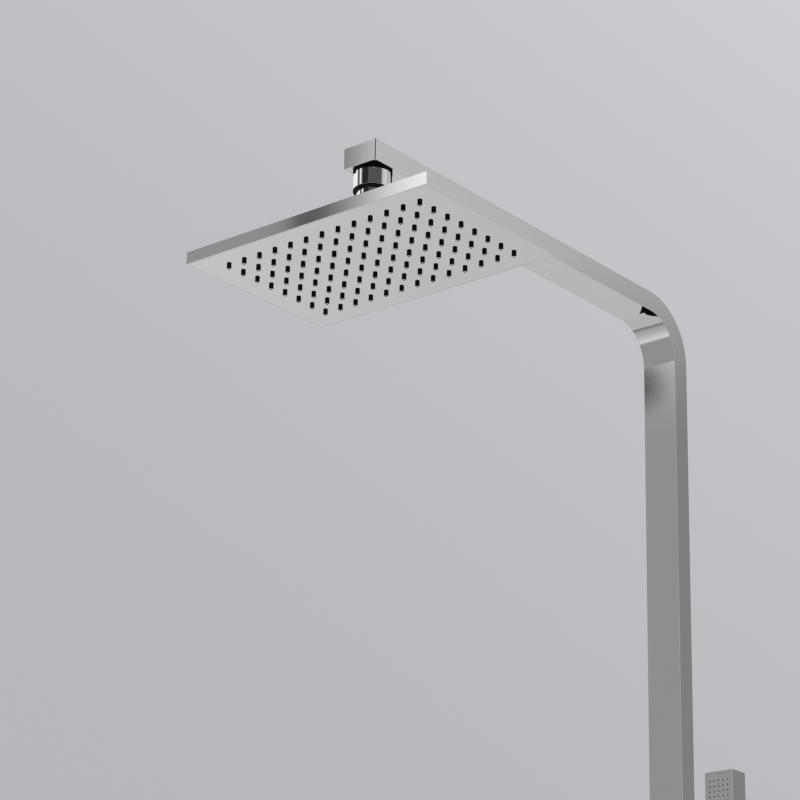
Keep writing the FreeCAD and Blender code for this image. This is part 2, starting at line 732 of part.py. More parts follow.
def rain_head():
    """Boss, filter, cover, clamping frame, silicone mat and face."""
    top = ("0", HEAD_AXIS, HEAD_TOP)
    face = ("0", HEAD_AXIS, HEAD_FACE)
    bore = "(Size.thread_half + Size.thread_play)"
    turned("head_boss", [
        (bore, "0"), ("Size.boss_radius", "0"), ("Size.boss_radius", "Size.boss_height - Size.boss_edge"),
        ("Size.boss_radius - Size.boss_edge", "Size.boss_height"), (bore, "Size.boss_height"),
    ], top)
    ring("filter_washer", "Size.filter_bore", "Size.thread_half - Size.washer_play", "0",
         "Size.filter_height", top)

    cover = piece("head_cover", face)
    outline = sketch_on(cover, "XY_Plane")
    rectangle(outline, "0", "0", "Size.head_width", "Size.head_depth")
    pad(cover, outline, "Size.head_thickness")
    hollow = sketch_on(cover, "XY_Plane")
    rectangle(hollow, "0", "0", "Size.head_width - 2 * Size.sheet", "Size.head_depth - 2 * Size.sheet")
    pocket(cover, hollow, "Size.head_thickness - Size.sheet", along=True)
    inlet = sketch_on(cover, "XY_Plane", "Size.head_thickness")
    circle(inlet, "0", "0", "Size.head_inlet")
    pocket(cover, inlet, "3 * Size.sheet", both_ways=True)

    border = "2 * (Size.sheet + Size.seam)"
    frame = piece("mat_frame", face)
    outer = sketch_on(frame, "XY_Plane", "Size.sheet + Size.mat_thickness")
    rectangle(outer, "0", "0", "Size.head_width - " + border, "Size.head_depth - " + border)
    rectangle(outer, "0", "0", "Size.head_width - 2 * Size.frame_border",
              "Size.head_depth - 2 * Size.frame_border")
    pad(frame, outer, "Size.head_thickness - 2 * Size.sheet - Size.mat_thickness")

    plate = piece("face_plate", face)
    sheet_outline = sketch_on(plate, "XY_Plane")
    rectangle(sheet_outline, "0", "0", "Size.head_width - " + border, "Size.head_depth - " + border)
    pad(plate, sheet_outline, "Size.sheet")
    hole = sketch_on(plate, "XY_Plane")
    nozzle_circle(hole, "Size.nozzle_radius + Size.fit_play")
    nozzle_grid(plate, pocket(plate, hole, "2 * Size.sheet", along=True), hole)

    mat = piece("nozzle_mat", face)
    mat_outline = sketch_on(mat, "XY_Plane", "Size.sheet")
    rectangle(mat_outline, "0", "0", "Size.head_width - 2 * Size.mat_border",
              "Size.head_depth - 2 * Size.mat_border")
    pad(mat, mat_outline, "Size.mat_thickness")
    nozzle = sketch_on(mat, "XY_Plane", "-Size.nozzle_proud")
    nozzle_circle(nozzle, "Size.nozzle_radius")
    nozzle_grid(mat, pad(mat, nozzle, "Size.nozzle_proud + Size.sheet"), nozzle)
    jet = sketch_on(mat, "XY_Plane", "-Size.nozzle_proud")
    nozzle_circle(jet, "Size.nozzle_bore")
    nozzle_grid(mat, pocket(mat, jet, "3 * (Size.nozzle_proud + Size.sheet)", along=True), jet)


def nozzle_circle(sketch, radius):
    """The first nozzle of the grid, at the head's front left corner."""
    circle(sketch, "-Size.nozzle_pitch_x * (Size.nozzle_columns - 1) / 2",
           "-Size.nozzle_pitch_y * (Size.nozzle_rows - 1) / 2", radius)


def nozzle_grid(body, feature, sketch):
    spans = ("Size.nozzle_pitch_x * (Size.nozzle_columns - 1)",
             "Size.nozzle_pitch_y * (Size.nozzle_rows - 1)")
    grid(body, feature, sketch, spans, ("Size.nozzle_columns", "Size.nozzle_rows"))


# ---- Upper wall bracket ----

def upper_bracket():
    """Wall plate, its cover, the post to the column and the screws between them."""
    plate = piece("upper_wall_plate")
    outline = sketch_on(plate, "XZ_Plane")
    rectangle(outline, "0", "0", "Size.plate_width", "Size.plate_height")
    pad(plate, outline, "Size.plate_thickness")
    spigot = sketch_on(plate, "XZ_Plane")
    rectangle(spigot, "0", "0", "Size.spigot_side", "Size.spigot_side")
    pad(plate, spigot, "Size.spigot_length")
    holes = sketch_on(plate, "XZ_Plane")
    circle(holes, "0", "Size.screw_spacing / 2", "Size.screw_hole")
    circle(holes, "0", "-Size.screw_spacing / 2", "Size.screw_hole")
    pocket(plate, holes, "2 * Size.plate_thickness", along=True)

    cover("upper_rosette", "0", "Size.rosette_width", "Size.rosette_height", "Size.rosette_depth")
    window = sketch_on(finished[-1], "XZ_Plane")
    rectangle(window, "0", "0", "Size.post_side + Size.post_gap", "Size.post_side + Size.post_gap")
    pocket(finished[-1], window, "2 * Size.rosette_depth", along=True)

    post = piece("upper_post")
    foot = "(Size.plate_thickness + Size.post_gap)"
    section = sketch_on(post, "XZ_Plane", foot)
    rectangle(section, "0", "0", "Size.post_side", "Size.post_side")
    pad(post, section, "Size.stand_off - " + foot)
    hollow = sketch_on(post, "XZ_Plane", foot)
    rectangle(hollow, "0", "0", "Size.post_bore", "Size.post_bore")
    pocket(post, hollow, "Size.stand_off - Size.post_end - " + foot, along=True)
    screw_hole = sketch_on(post, "XZ_Plane", "Size.stand_off")
    circle(screw_hole, "0", "0", "Size.column_screw + Size.fit_play")
    pocket(post, screw_hole, "2 * Size.post_end")
    grub_hole = sketch_on(post, "XY_Plane", "-Size.post_side / 2")
    circle(grub_hole, "0", "-Size.grub_height", "Size.post_grub + Size.fit_play")
    pocket(post, grub_hole, "Size.post_side - Size.post_bore", along=True)

    low = "-Size.post_side / 2 + Size.grub_sink"
    high = "-Size.spigot_side / 2 - Size.fit_play"
    grub_screw = turned("post_grub_screw", [
        ("0", low), ("Size.post_grub", low), ("Size.post_grub", high), ("0", high),
    ], ("0", "-Size.grub_height", "0"))
    key_socket(grub_screw, low, "Size.post_grub_key", "Size.post_grub_key_depth", along=True)

    seat = "(Size.stand_off - Size.post_end)"
    head = seat + " - Size.screw_head_height"
    end = "Size.stand_off + Size.screw_reach"
    screw = turned("column_screw", [
        ("0", head), ("Size.column_screw_head", head), ("Size.column_screw_head", seat),
        ("Size.column_screw", seat), ("Size.column_screw", end), ("0", end),
    ], turn=FORWARD)
    key_socket(screw, head, "Size.column_screw_key", "Size.column_screw_key_depth", along=True)

    inner = "Size.column_screw + Size.fit_play"
    inside = "Size.stand_off + Size.tube_wall"
    rivet_end = "Size.stand_off + Size.rivet_length"
    turned("column_rivet_nut", [
        (inner, "Size.stand_off"), ("Size.rivet_radius", "Size.stand_off"), ("Size.rivet_radius", inside),
        ("Size.rivet_flange", inside), ("Size.rivet_flange", rivet_end), (inner, rivet_end),
    ], turn=FORWARD)


def cover(label, height, width, tall, depth):
    """An open-backed rectangular cover that stands against the wall."""
    shell = piece(label, at=("0", "0", height))
    outline = sketch_on(shell, "XZ_Plane")
    rectangle(outline, "0", "0", width, tall)
    pad(shell, outline, depth)
    front = -number(depth)
    dress(shell, "Chamfer", "Size.cover_edge", lambda edge: all_at(edge, "y", front))
    hollow = sketch_on(shell, "XZ_Plane")
    rectangle(hollow, "0", "0", width + " - 2 * Size.rosette_wall", tall + " - 2 * Size.rosette_wall")
    pocket(shell, hollow, depth + " - Size.rosette_wall", along=True)


# ---- Lower block: wall inlet, diverter and hose outlet ----

def lower_block():
    """Solid block that carries the column's foot and holds the diverter valve."""
    block = piece("lower_block")
    outline = sketch_on(block, "XY_Plane", "Size.block_bottom")
    middle = "((%s) + (%s)) / 2" % (BLOCK_FRONT, BLOCK_BACK)
    depth = "Size.tube_depth + Size.block_front + Size.block_back"
    rectangle(outline, "0", middle, "Size.block_width", depth)
    pad(block, outline, "Size.block_top - Size.block_bottom")
    dress(block, "Chamfer", "Size.block_edge", lambda edge: True)
    foot = sketch_on(block, "XY_Plane", "Size.block_top")
    rectangle(foot, "0", COLUMN_AXIS, "Size.tube_width + 2 * Size.foot_play",
              "Size.tube_depth + 2 * Size.foot_play")
    pocket(block, foot, "Size.block_pocket")

    valve = sketch_on(block, "XZ_Plane", "-(%s)" % BLOCK_FRONT)
    circle(valve, "0", "Size.valve_height", "Size.valve_bore")
    pocket(block, valve, "Size.valve_depth")
    back = "-(%s)" % BLOCK_BACK
    for radius, deep in (
        ("Size.tail_radius + Size.fit_play", "Size.tail_pocket"),
        ("Size.waterway", "Size.waterway_back"),
    ):
        inlet = sketch_on(block, "XZ_Plane", back)
        circle(inlet, "0", "Size.valve_height", radius)
        pocket(block, inlet, deep, along=True)
    riser = sketch_on(block, "XY_Plane", "Size.block_top")
    circle(riser, "0", COLUMN_AXIS, "Size.riser_bore")
    pocket(block, riser, "Size.block_top - Size.valve_height")
    for radius, deep in (
        ("Size.outlet_bore + Size.fit_play", "Size.outlet_depth"),
        ("Size.waterway", "Size.waterway_up"),
    ):
        outlet = sketch_on(block, "XY_Plane", "Size.block_bottom")
        circle(outlet, "0", COLUMN_AXIS, radius)
        pocket(block, outlet, deep, along=True)

    floor = "-Size.block_pocket"
    thread_end = floor + " - Size.barb_thread"
    collar = floor + " + Size.barb_collar"
    barb_end = floor + " + Size.barb_length"
    thread = "Size.riser_bore - Size.fit_play"
    barb = "Size.hose_bore - Size.fit_play"
    turned("hose_barb", [
        ("Size.barb_bore", thread_end), (thread, thread_end), (thread, floor), ("Size.barb_flange", floor),
        ("Size.barb_flange", collar), (barb, collar), (barb, barb_end), ("Size.barb_bore", barb_end),
    ], ("0", COLUMN_AXIS, "Size.block_top"))


def wall_inlet():
    """Tail pipe, sealing washer, union nut and cover between the block and the wall."""
    at = ("0", BLOCK_BACK, "Size.valve_height")
    collar = "(Size.stand_off - Size.block_back - Size.tail_reach)"
    flange = collar + " + Size.tail_flange"
    turned("inlet_tail", [
        ("Size.tail_bore", "-Size.tail_plug"), ("Size.tail_radius", "-Size.tail_plug"),
        ("Size.tail_radius", collar), ("Size.tail_collar", collar), ("Size.tail_collar", flange),
        ("Size.tail_bore", flange),
    ], at, TO_WALL)
    ring("inlet_washer", "Size.union_washer_bore", "Size.tail_collar - Size.washer_play",
         flange, flange + " + Size.union_washer", at, TO_WALL)

    nut = piece("union_nut", at, TO_WALL)
    low = collar + " - Size.union_floor"
    high = low + " + Size.union_length"
    outline = sketch_on(nut, "XY_Plane", low)
    hexagon(outline, "Size.union_radius")
    pad(nut, outline, "Size.union_length")
    bore = sketch_on(nut, "XZ_Plane")
    mouth = "Size.tail_radius + Size.union_play"
    relief = "Size.union_thread + Size.union_relief"
    groove_end = collar + " + Size.union_groove"
    polygon(bore, [
        ("0", low), (mouth, low), (mouth, collar), (relief, collar), (relief, groove_end),
        ("Size.union_thread", groove_end), ("Size.union_thread", high), ("0", high),
    ])
    turn_out(nut, bore)
    corners = sketch_on(nut, "XZ_Plane")
    flat = "Size.union_radius * cos(30 deg)"
    near = "2 * %s - Size.union_radius" % flat
    far = "2 * Size.union_radius - %s" % flat
    for end, inward in ((low, 1), (high, -1)):
        outside = "%s - %d * Size.union_chamfer" % (end, inward)
        inside = "%s + %d * Size.union_chamfer" % (end, 2 * inward)
        polygon(corners, [(near, outside), (far, outside), (far, inside)])
    turn_out(nut, corners)

    cover("inlet_cover", "Size.valve_height", "Size.inlet_cover_side", "Size.inlet_cover_side",
          "Size.inlet_cover_depth")
    window = sketch_on(finished[-1], "XZ_Plane")
    circle(window, "0", "0", "Size.tail_radius + Size.inlet_cover_play")
    pocket(finished[-1], window, "2 * Size.inlet_cover_depth", along=True)


def diverter():
    """Valve cartridge, its nut and seal, and the spindle with the knob."""
    at = ("0", BLOCK_FRONT, "Size.valve_height")
    outer = "Size.valve_bore - Size.fit_play"
    neck = "Size.spindle_radius + Size.fit_play"
    cartridge = turned("diverter_cartridge", [
        ("Size.cartridge_bore", "-Size.cartridge_back"), (outer, "-Size.cartridge_back"),
        (outer, "-Size.cartridge_front"), (neck, "-Size.cartridge_front"), (neck, "-Size.cartridge_lid"),
        ("Size.cartridge_bore", "-Size.cartridge_lid"),
    ], at, FORWARD)
    ports = sketch_on(cartridge, "XZ_Plane")
    circle(ports, "0", "-Size.port_depth", "Size.cartridge_port")
    pocket(cartridge, ports, "4 * Size.valve_bore", both_ways=True)
    ring("cartridge_seal", "Size.seal_bore", "Size.cartridge_bore - Size.washer_play",
         "-Size.seal_back", "-Size.seal_front", at, FORWARD)
    ring("valve_nut", "Size.valve_nut_bore", outer, "-Size.cartridge_front + 2 * Size.fit_play",
         "Size.valve_nut_proud", at, FORWARD)

    spindle = turned("diverter_spindle", [
        ("0", "-Size.disc_back"), ("Size.spindle_disc", "-Size.disc_back"),
        ("Size.spindle_disc", "-Size.disc_front"), ("Size.spindle_radius", "-Size.disc_front"),
        ("Size.spindle_radius", "Size.spindle_reach"), ("0", "Size.spindle_reach"),
    ], at, FORWARD)
    port = sketch_on(spindle, "XY_Plane", "-Size.disc_back")
    circle(port, "0", "Size.disc_port_offset", "Size.disc_port")
    pocket(spindle, port, "Size.disc_back", along=True)

    knob = piece("diverter_knob", at, FORWARD)
    outline = sketch_on(knob, "XY_Plane", "Size.knob_gap")
    rectangle(outline, "0", "0", "Size.knob_side", "Size.knob_side")
    pad(knob, outline, "Size.knob_length")
    dress(knob, "Chamfer", "Size.knob_edge", lambda edge: True)
    for radius, deep in (("Size.knob_recess", "Size.knob_recess_depth"), (neck, "Size.knob_socket")):
        bore = sketch_on(knob, "XY_Plane", "Size.knob_gap")
        circle(bore, "0", "0", radius)
        pocket(knob, bore, deep, along=True)
    screw_hole = sketch_on(knob, "XZ_Plane", "Size.knob_side / 2")
    circle(screw_hole, "0", "Size.knob_grub_height", "Size.knob_grub + Size.fit_play")
    pocket(knob, screw_hole, "Size.knob_side / 2")
    mark = sketch_on(knob, "XY_Plane", "Size.knob_gap + Size.knob_length")
    rectangle(mark, "0", "Size.mark_offset", "Size.mark_width", "Size.mark_length")
    pocket(knob, mark, "Size.mark_depth")

    end = "Size.knob_side / 2 - Size.spindle_radius - Size.fit_play"
    grub_screw = turned("knob_grub_screw", [
        ("0", "Size.grub_sink"), ("Size.knob_grub", "Size.grub_sink"), ("Size.knob_grub", end), ("0", end),
    ], ("0", BLOCK_FRONT + " - Size.knob_grub_height", "Size.valve_height - Size.knob_side / 2"))
    key_socket(grub_screw, "Size.grub_sink", "Size.knob_grub_key", "Size.knob_grub_key_depth", along=True)


def hose_outlet():
    """Threaded outlet for the hand shower's hose, with the non-return valve inside it."""
    at = ("0", COLUMN_AXIS, "Size.block_bottom")
    top = "Size.outlet_depth - Size.washer_play"
    shoulder = "-Size.outlet_flange_height"
    turned("hose_outlet", [
        ("Size.valve_seat", "-Size.outlet_thread"), ("Size.thread_half", "-Size.outlet_thread"),
        ("Size.thread_half", shoulder), ("Size.outlet_flange", shoulder), ("Size.outlet_flange", "0"),
        ("Size.outlet_bore", "0"), ("Size.outlet_bore", top), ("Size.outlet_neck", top),
        ("Size.outlet_neck", "Size.cage_high"), ("Size.valve_seat", "Size.cage_high"),
    ], at)
    ring("check_valve_cage", "Size.cage_bore", "Size.valve_seat - Size.fit_play", "-Size.cage_low",
         "Size.cage_high - 2 * Size.fit_play", at)
    turned("check_valve_flap", [
        ("0", "Size.flap_dish"), ("Size.flap_radius", "0"), ("Size.flap_radius", "Size.flap_edge"),
        ("Size.flap_pin", "Size.flap_crown"), ("Size.flap_pin", "Size.flap_height"),
        ("0", "Size.flap_height"),
    ], at)


# ---- Hand shower and its holder ----

def holder():
    """Boss on the column's side with its nut, washer and pivot screw, and the cradle that tilts on it."""
    at = ("Size.tube_width / 2", PIVOT_Y, "0")
    reach = "(Size.hand_left - Size.cradle_play - Size.cradle_wall - Size.tube_width / 2)"
    bore = "Size.pivot_screw + Size.fit_play"
    boss_end = reach + " - Size.holder_gap"
    turned("holder_boss", [
        ("0", "-Size.stud_length"), ("Size.stud_radius", "-Size.stud_length"), ("Size.stud_radius", "0"),
        ("Size.pivot_radius", "0"), ("Size.pivot_radius", boss_end + " - Size.holder_edge"),
        ("Size.pivot_radius - Size.holder_edge", boss_end), (bore, boss_end), (bore, "Size.pivot_depth"),
        ("0", "Size.pivot_depth"),
    ], at, TO_RIGHT)
    ring("holder_back_nut", "Size.stud_radius + Size.fit_play", "Size.back_nut_radius",
         "-Size.tube_wall - Size.back_nut_height", "-Size.tube_wall", at, TO_RIGHT)
    ring("holder_washer", "Size.pivot_screw + Size.washer_play", "Size.holder_washer",
         boss_end, boss_end + " + Size.washer_height", at, TO_RIGHT)
    start = "Size.pivot_depth + Size.holder_gap"
    head = reach + " + Size.pivot_sink"
    end = head + " + Size.pivot_head_height"
    screw = turned("pivot_screw", [
        ("0", start), ("Size.pivot_screw", start), ("Size.pivot_screw", head), ("Size.pivot_head", head),
        ("Size.pivot_head", end), ("0", end),
    ], at, TO_RIGHT)
    key_socket(screw, end, "Size.pivot_key", "Size.pivot_key_depth")

    cradle = piece("hand_cradle", (HAND_CENTRE_X, HAND_CENTRE_Y, HAND_BOTTOM))
    inner_width = "(Size.hand_width + 2 * Size.cradle_play)"
    inner_depth = "(Size.hand_depth + 2 * Size.cradle_play)"
    low = "-(Size.cradle_play + Size.cradle_wall)"
    high = low + " + Size.cradle_height"
    outline = sketch_on(cradle, "XY_Plane", low)
    rectangle(outline, "0", "0", inner_width + " + 2 * Size.cradle_wall",
              inner_depth + " + 2 * Size.cradle_wall")
    pad(cradle, outline, "Size.cradle_height")
    dress(cradle, "Chamfer", "Size.cradle_edge", lambda edge: True)
    socket = sketch_on(cradle, "XY_Plane", high)
    rectangle(socket, "0", "0", inner_width, inner_depth)
    pocket(cradle, socket, "Size.cradle_height - Size.cradle_wall")
    slot = sketch_on(cradle, "XY_Plane", high)
    front = "-(%s + Size.cradle_wall) / 2" % inner_depth
    rectangle(slot, "0", front, "Size.cradle_slot", "2 * Size.cradle_wall")
    pocket(cradle, slot, "2 * Size.cradle_height")
    mouth = sketch_on(cradle, "XY_Plane", "-Size.cradle_play")
    rectangle(mouth, "0", "-Size.cradle_wall", "Size.cradle_mouth", inner_depth + " + 2 * Size.cradle_wall")
    pocket(cradle, mouth, "2 * Size.cradle_wall")
    side = "-(%s / 2 + Size.cradle_wall)" % inner_width
    pivot_y = "(%s) - (%s)" % (PIVOT_Y, HAND_CENTRE_Y)
    for radius, height, deep in (
        ("Size.pivot_screw + 2 * Size.fit_play", side, "2 * Size.cradle_wall"),
        ("Size.pivot_head + 2 * Size.fit_play", side + " + Size.pivot_sink", "Size.cradle_wall"),
    ):
        hole = sketch_on(cradle, "YZ_Plane", height)
        circle(hole, pivot_y, "-" + HAND_BOTTOM, radius)
        pocket(cradle, hole, deep, along=True)


def hand_shower():
    """Bar-shaped hand shower: hollow body, face, jet mat, inlet and filter."""
    at = (HAND_CENTRE_X, HAND_CENTRE_Y, HAND_BOTTOM)
    front = "Size.hand_depth / 2"
    spray = "Size.spray_pitch * (Size.spray_rows - 1)"
    middle = "(Size.hand_length - Size.spray_start - %s / 2)" % spray

    def field(sketch, rim, margin):
        """A rectangle round the jets, rim from the bar's sides and margin beyond the last jets."""
        rectangle(sketch, "0", middle, "Size.hand_width - 2 * (%s)" % rim, "%s + 2 * (%s)" % (spray, margin))

    def jets(body, sketch, radius, feature_of):
        """Repeats a feature made from the lowest left jet over the whole field."""
        circle(sketch, "-Size.spray_pitch * (Size.spray_columns - 1) / 2",
               "Size.hand_length - Size.spray_start - " + spray, radius)
        spans = ("Size.spray_pitch * (Size.spray_columns - 1)", spray)
        grid(body, feature_of(body, sketch), sketch, spans, ("Size.spray_columns", "Size.spray_rows"))

    body = piece("hand_body", at)
    outline = sketch_on(body, "XY_Plane")
    rectangle(outline, "0", "0", "Size.hand_width", "Size.hand_depth")
    pad(body, outline, "Size.hand_length")
    dress(body, "Fillet", "Size.hand_edge", lambda edge: True)
    for rim, margin, deep in (
        ("Size.face_rim", "Size.face_margin", "Size.face_sheet"),
        ("Size.jet_mat_rim", "Size.jet_mat_margin", "Size.chamber_depth"),
    ):
        recess = sketch_on(body, "XZ_Plane", front)
        field(recess, rim, margin)
        pocket(body, recess, deep)
    for radius, deep in (
        ("Size.hand_bore", "Size.hand_length / 2"),
        ("Size.inlet_plug_radius + Size.fit_play", "Size.inlet_plug + Size.washer_play"),
    ):
        bore = sketch_on(body, "XY_Plane")
        circle(bore, "0", "0", radius)
        pocket(body, bore, deep, along=True)

    face = piece("hand_face", at)
    outline = sketch_on(face, "XZ_Plane", front + " - Size.face_sheet")
    field(outline, "Size.face_rim + Size.face_play", "Size.face_margin - Size.face_play")
    pad(face, outline, "Size.face_sheet")
    jets(face, sketch_on(face, "XZ_Plane", front), "Size.spray_radius + Size.fit_play",
         lambda solid, hole: pocket(solid, hole, "2 * Size.face_sheet"))

    mat = piece("hand_jet_mat", at)
    outline = sketch_on(mat, "XZ_Plane", front + " - 2 * Size.face_sheet")
    field(outline, "Size.jet_mat_rim + Size.face_play", "Size.jet_mat_margin - Size.face_play")
    pad(mat, outline, "Size.face_sheet")
    jets(mat, sketch_on(mat, "XZ_Plane", front + " - Size.face_sheet - Size.face_play"), "Size.spray_radius",
         lambda solid, jet: pad(solid, jet, "Size.face_sheet + Size.face_play + Size.jet_proud"))

    relief = "-Size.inlet_relief_height"
    turned("hand_inlet", [
        ("Size.inlet_bore", "-Size.inlet_length"), ("Size.thread_half", "-Size.inlet_length"),
        ("Size.thread_half", relief), ("Size.inlet_relief", relief), ("Size.inlet_relief", "0"),
        ("Size.inlet_plug_radius", "0"), ("Size.inlet_plug_radius", "Size.inlet_plug"),
        ("Size.inlet_bore", "Size.inlet_plug"),
    ], at)
    ring("hand_filter", "Size.hand_filter_bore", "Size.inlet_bore - Size.fit_play",
         "-Size.hand_filter_low", "-Size.hand_filter_low + Size.hand_filter_height", at)


def write_parts():
    """Checks every object, then writes one STEP file for each sub-part."""
    doc.recompute()
    for item in doc.Objects:
        if "Invalid" in item.State or "Error" in item.State:
            raise RuntimeError("%s failed: %s" % (item.Label, item.State))
    for item in finished:
        if item.Shape.isNull() or not item.Shape.isValid():
            raise RuntimeError("%s has no valid shape" % item.Label)
    os.makedirs("parts", exist_ok=True)
    for item in finished:
        item.Shape.exportStep("parts/%s.step" % item.Label)
        print("%-22s %10.1f mm3" % (item.Label, item.Shape.Volume))


column_tube()
arm_tip_cap()
supply_hose()
hose_ferrules()
arm_elbow()
ball_joint()
rain_head()
upper_bracket()
lower_block()
wall_inlet()
diverter()
hose_outlet()
holder()
hand_shower()
write_parts()
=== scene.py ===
"""A shower column, dressed.

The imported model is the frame. This script adds materials, fine pieces and a studio.
"""
import json
import math

import bmesh
import bpy
from mathutils import Matrix, Vector


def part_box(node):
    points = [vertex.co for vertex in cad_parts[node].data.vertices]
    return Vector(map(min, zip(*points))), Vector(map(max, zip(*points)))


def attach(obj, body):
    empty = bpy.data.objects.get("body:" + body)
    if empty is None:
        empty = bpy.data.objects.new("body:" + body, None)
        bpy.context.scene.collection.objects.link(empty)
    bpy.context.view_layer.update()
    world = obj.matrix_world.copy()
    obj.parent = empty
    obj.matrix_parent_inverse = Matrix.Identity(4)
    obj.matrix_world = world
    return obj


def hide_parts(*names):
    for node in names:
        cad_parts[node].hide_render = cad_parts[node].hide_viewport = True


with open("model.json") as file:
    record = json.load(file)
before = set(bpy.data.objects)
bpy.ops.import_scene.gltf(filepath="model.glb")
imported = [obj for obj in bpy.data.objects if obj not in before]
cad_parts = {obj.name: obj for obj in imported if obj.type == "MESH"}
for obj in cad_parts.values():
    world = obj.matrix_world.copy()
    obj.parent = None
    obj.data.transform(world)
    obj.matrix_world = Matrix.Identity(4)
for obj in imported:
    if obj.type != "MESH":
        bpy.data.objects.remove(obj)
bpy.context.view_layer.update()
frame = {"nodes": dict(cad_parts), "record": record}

MM = 0.001

# ---------------------------------------------------------------- node helpers


class Shader:
    """A node tree under construction. Inputs take numbers or the sockets of other nodes."""

    def __init__(self, tree):
        self.tree = tree
        tree.nodes.clear()

    def add(self, kind, inputs=None, **settings):
        node = self.tree.nodes.new("ShaderNode" + kind)
        for name, value in settings.items():
            setattr(node, name, value)
        for key, value in (inputs or {}).items():
            if isinstance(value, bpy.types.NodeSocket):
                self.tree.links.new(value, node.inputs[key])
            else:
                node.inputs[key].default_value = value
        return node

    def math(self, operation, first, second=0.0):
        return self.add("Math", {0: first, 1: second}, operation=operation).outputs[0]

    def ramp(self, value, low, high, to_low=0.0, to_high=1.0, smooth=False):
        """A value between low and high, carried over to the second pair of ends."""
        kind = "SMOOTHSTEP" if smooth else "LINEAR"
        inputs = {"Value": value, "From Min": low, "From Max": high, "To Min": to_low, "To Max": to_high}
        return self.add("MapRange", inputs, interpolation_type=kind).outputs[0]

    def mix(self, factor, first, second):
        """A colour mix: its colour sockets are the inputs 6 and 7 and the output 2."""
        return self.add("Mix", {0: factor, 6: first, 7: second}, data_type="RGBA").outputs[2]

    def noise(self, vector, scale, detail, roughness):
        inputs = {"Vector": vector, "Scale": scale, "Detail": detail, "Roughness": roughness}
        return self.add("TexNoise", inputs).outputs["Fac"]


def grey(tone):
    return (tone, tone, tone, 1.0)


def colour(rgb):
    return (*rgb, 1.0)


def new_material(name):
    material = bpy.data.materials.new(name)
    material.use_nodes = True
    return material, Shader(material.node_tree)


def finish_material(shader, sockets, normal):
    """The surface shader, with its constant values set on its own sockets."""
    surface = shader.add("BsdfPrincipled", {**sockets, "Normal": normal})
    shader.add("OutputMaterial", {"Surface": surface.outputs[0]})


def bump(shader, height, strength, distance):
    inputs = {"Height": height, "Strength": strength, "Distance": distance}
    return shader.add("Bump", inputs).outputs[0]


# ------------------------------------------------------------------- materials


def mirror_metal(name, tone, darker, rough, rougher, waviness):
    """Plated or polished metal: faint clouds in tone and polish, and a slight waviness from buffing."""
    material, shader = new_material(name)
    place = shader.add("TexCoord").outputs["Object"]
    clouds = shader.noise(place, scale=22.0, detail=4.0, roughness=0.55)
    haze = shader.noise(place, scale=160.0, detail=3.0, roughness=0.6)
    base = shader.mix(shader.ramp(clouds, 0.3, 0.7), colour(tone), colour(darker))
    both = shader.math("ADD", shader.math("MULTIPLY", clouds, 0.6), shader.math("MULTIPLY", haze, 0.4))
    polish = shader.ramp(both, 0.35, 0.65, rough, rougher)
    buffing = shader.noise(place, scale=34.0, detail=1.5, roughness=0.4)
    finish_material(
        shader,
        {"Base Color": base, "Metallic": 1.0, "Roughness": polish},
        bump(shader, buffing, waviness, distance=0.0004),
    )
    return material


def rubber(name, tone, paler, rough, grain, depth):
    """Moulded rubber or silicone: dark, with a fine grain and a faint bloom in patches."""
    material, shader = new_material(name)
    place = shader.add("TexCoord").outputs["Object"]
    bloom = shader.noise(place, scale=120.0, detail=4.0, roughness=0.6)
    fine = shader.noise(place, scale=grain, detail=2.0, roughness=0.5)
    base = shader.mix(shader.ramp(bloom, 0.4, 0.75), colour(tone), colour(paler))
    dull = shader.ramp(bloom, 0.3, 0.7, rough - 0.06, rough + 0.06)
    finish_material(
        shader,
        {"Base Color": base, "Roughness": dull, "Specular IOR Level": 0.06},
        bump(shader, fine, depth, distance=0.00006),
    )
    return material


def turned_metal(name, tone, darker, rough, axis, rings):
    """Metal left as machined: fine turning marks round an axis, and uneven tarnish."""
    material, shader = new_material(name)
    place = shader.add("TexCoord").outputs["Object"]
    tarnish = shader.noise(place, scale=70.0, detail=5.0, roughness=0.6)
    marks = shader.add(
        "TexWave",
        {"Vector": place, "Scale": rings, "Distortion": 0.6, "Detail": 2.0, "Detail Scale": 1.5},
        wave_type="BANDS",
        bands_direction=axis,
    ).outputs["Fac"]
    base = shader.mix(shader.ramp(tarnish, 0.3, 0.75), colour(tone), colour(darker))
    dull = shader.ramp(tarnish, 0.3, 0.7, rough - 0.05, rough + 0.08)
    finish_material(
        shader,
        {"Base Color": base, "Metallic": 1.0, "Roughness": dull},
        bump(shader, marks, strength=0.25, distance=0.00004),
    )
    return material


def plastic(name, tone, darker, rough, grain):
    """Moulded plastic: an even colour with faint clouding and a spark-eroded grain."""
    material, shader = new_material(name)
    place = shader.add("TexCoord").outputs["Object"]
    clouds = shader.noise(place, scale=60.0, detail=3.0, roughness=0.5)
    fine = shader.noise(place, scale=grain, detail=2.0, roughness=0.5)
    base = shader.mix(shader.ramp(clouds, 0.3, 0.7), colour(tone), colour(darker))
    dull = shader.ramp(fine, 0.3, 0.7, rough - 0.04, rough + 0.05)
    finish_material(
        shader,
        {"Base Color": base, "Roughness": dull, "IOR": 1.48},
        bump(shader, fine, strength=0.2, distance=0.00005),
    )
    return material


